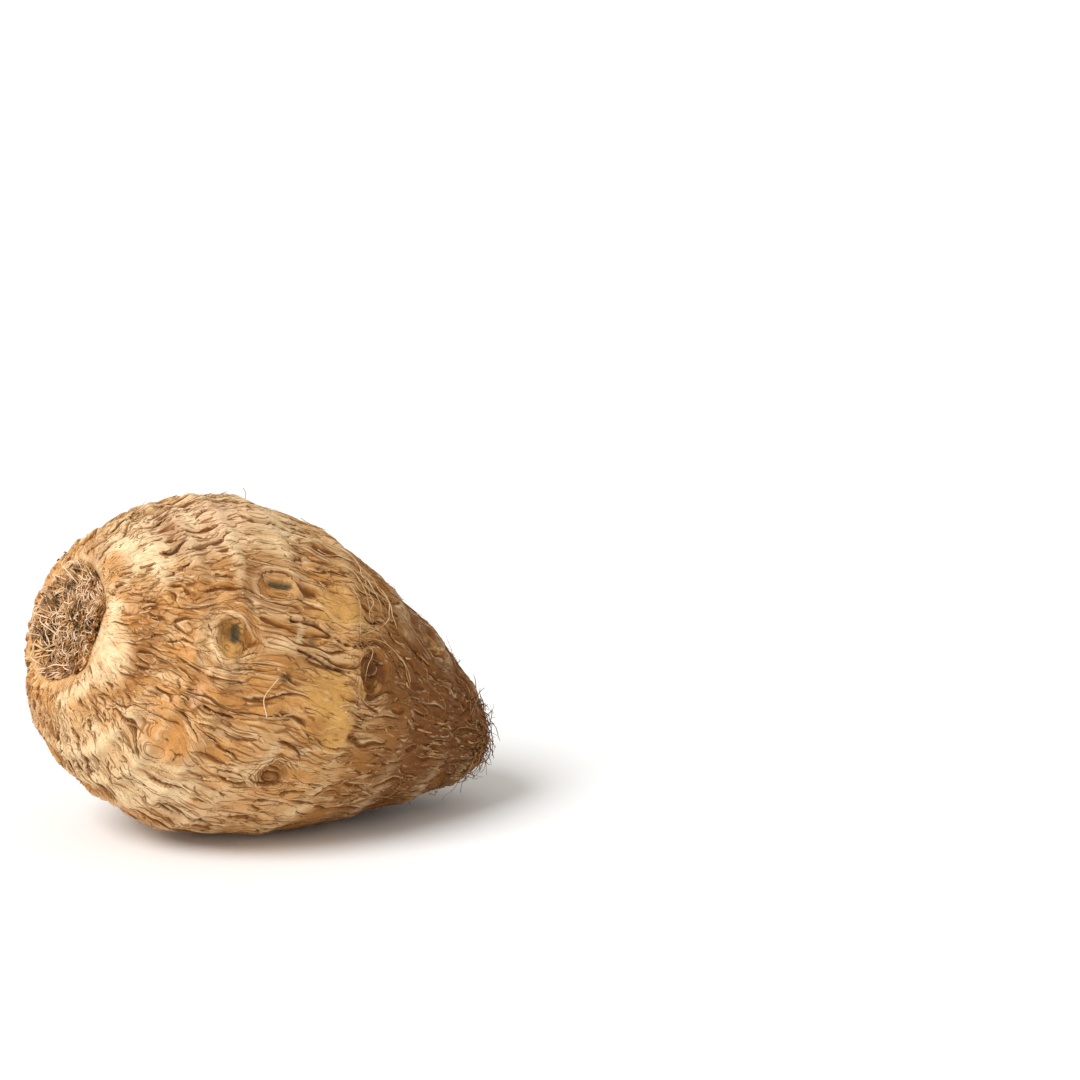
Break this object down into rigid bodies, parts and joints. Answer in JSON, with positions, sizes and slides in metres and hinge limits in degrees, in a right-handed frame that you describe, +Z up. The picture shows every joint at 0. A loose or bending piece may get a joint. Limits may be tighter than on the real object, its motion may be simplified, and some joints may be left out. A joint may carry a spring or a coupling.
{
  "type": "taro root",
  "caption": "Whole taro corm lying on its belly: rough brown skin ringed by leaf scars, buds, a sunken crown scar in a pale collar and wiry root fibres.",
  "frame": {"origin": "centre of the bounding box's bottom, on the surface that the corm lies on", "axes": "+X along the corm's length, from the crown at -X to the narrow base; +Z up; -Y is the side that the picture shows"},
  "size_m": [0.1022, 0.0758, 0.0721],
  "materials": {
    "corm_skin": "dry, rough, bark-like, matte"
  },
  "bodies": {
    "root": {"taro_root": "corm_skin"}
  },
  "joints": []
}
